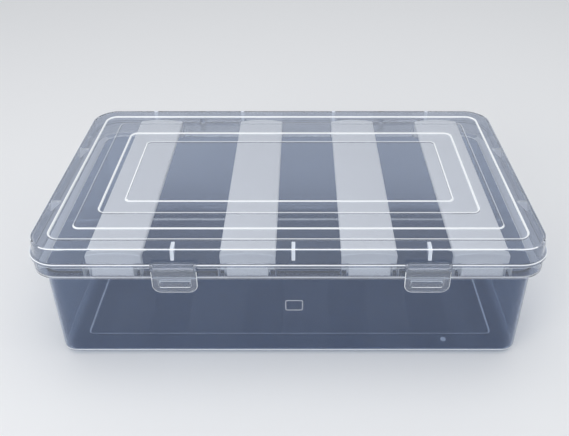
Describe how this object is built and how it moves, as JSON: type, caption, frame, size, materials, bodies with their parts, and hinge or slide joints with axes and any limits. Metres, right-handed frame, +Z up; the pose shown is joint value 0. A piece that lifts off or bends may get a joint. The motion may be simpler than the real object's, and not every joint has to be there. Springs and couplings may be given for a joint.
{
  "type": "bangle storage box",
  "caption": "Clear rectangular storage box with a stepped hinged lid, swing latches that hook under the rim, and lift-out hollow bars that carry bangles across the tray",
  "frame": {"origin": "centre of the footprint, on the face that the box stands on", "axes": "+X along the box, +Y from the latches to the hinges, +Z up"},
  "size_m": [0.3428, 0.2128, 0.099],
  "materials": {
    "clear_plastic": "clear injection-moulded polypropylene, glossy with soft edges",
    "milky_plastic": "milky white translucent polypropylene, satin"
  },
  "bodies": {
    "tray": {"tray": "clear_plastic"},
    "lid": {"lid": "clear_plastic"},
    "latch_left": {"latch_left": "clear_plastic"},
    "latch_right": {"latch_right": "clear_plastic"},
    "bar_1": {"bar_1_shell": "milky_plastic", "bar_1_cover": "milky_plastic"},
    "bar_2": {"bar_2_shell": "milky_plastic", "bar_2_cover": "milky_plastic"},
    "bar_3": {"bar_3_shell": "milky_plastic", "bar_3_cover": "milky_plastic"},
    "bar_4": {"bar_4_shell": "milky_plastic", "bar_4_cover": "milky_plastic"}
  },
  "joints": [
    {"name": "lid_hinge", "type": "hinge", "parent": "tray", "child": "lid", "pos_m": [0, 0.1046, 0.085], "axis": [-1, 0, 0], "range_deg": [0, 110]},
    {"name": "latch_left_hinge", "type": "hinge", "parent": "lid", "child": "latch_left", "pos_m": [-0.0734, -0.10325, 0.0872], "axis": [-1, 0, 0], "range_deg": [0, 100]},
    {"name": "latch_right_hinge", "type": "hinge", "parent": "lid", "child": "latch_right", "pos_m": [0.0901, -0.10325, 0.0872], "axis": [-1, 0, 0], "range_deg": [0, 100]},
    {"name": "bar_1_lift", "type": "slide", "parent": "tray", "child": "bar_1", "axis": [0, 0, 1], "range_m": [0, 0.0035]},
    {"name": "bar_2_lift", "type": "slide", "parent": "tray", "child": "bar_2", "axis": [0, 0, 1], "range_m": [0, 0.0035]},
    {"name": "bar_3_lift", "type": "slide", "parent": "tray", "child": "bar_3", "axis": [0, 0, 1], "range_m": [0, 0.0035]},
    {"name": "bar_4_lift", "type": "slide", "parent": "tray", "child": "bar_4", "axis": [0, 0, 1], "range_m": [0, 0.0035]}
  ]
}
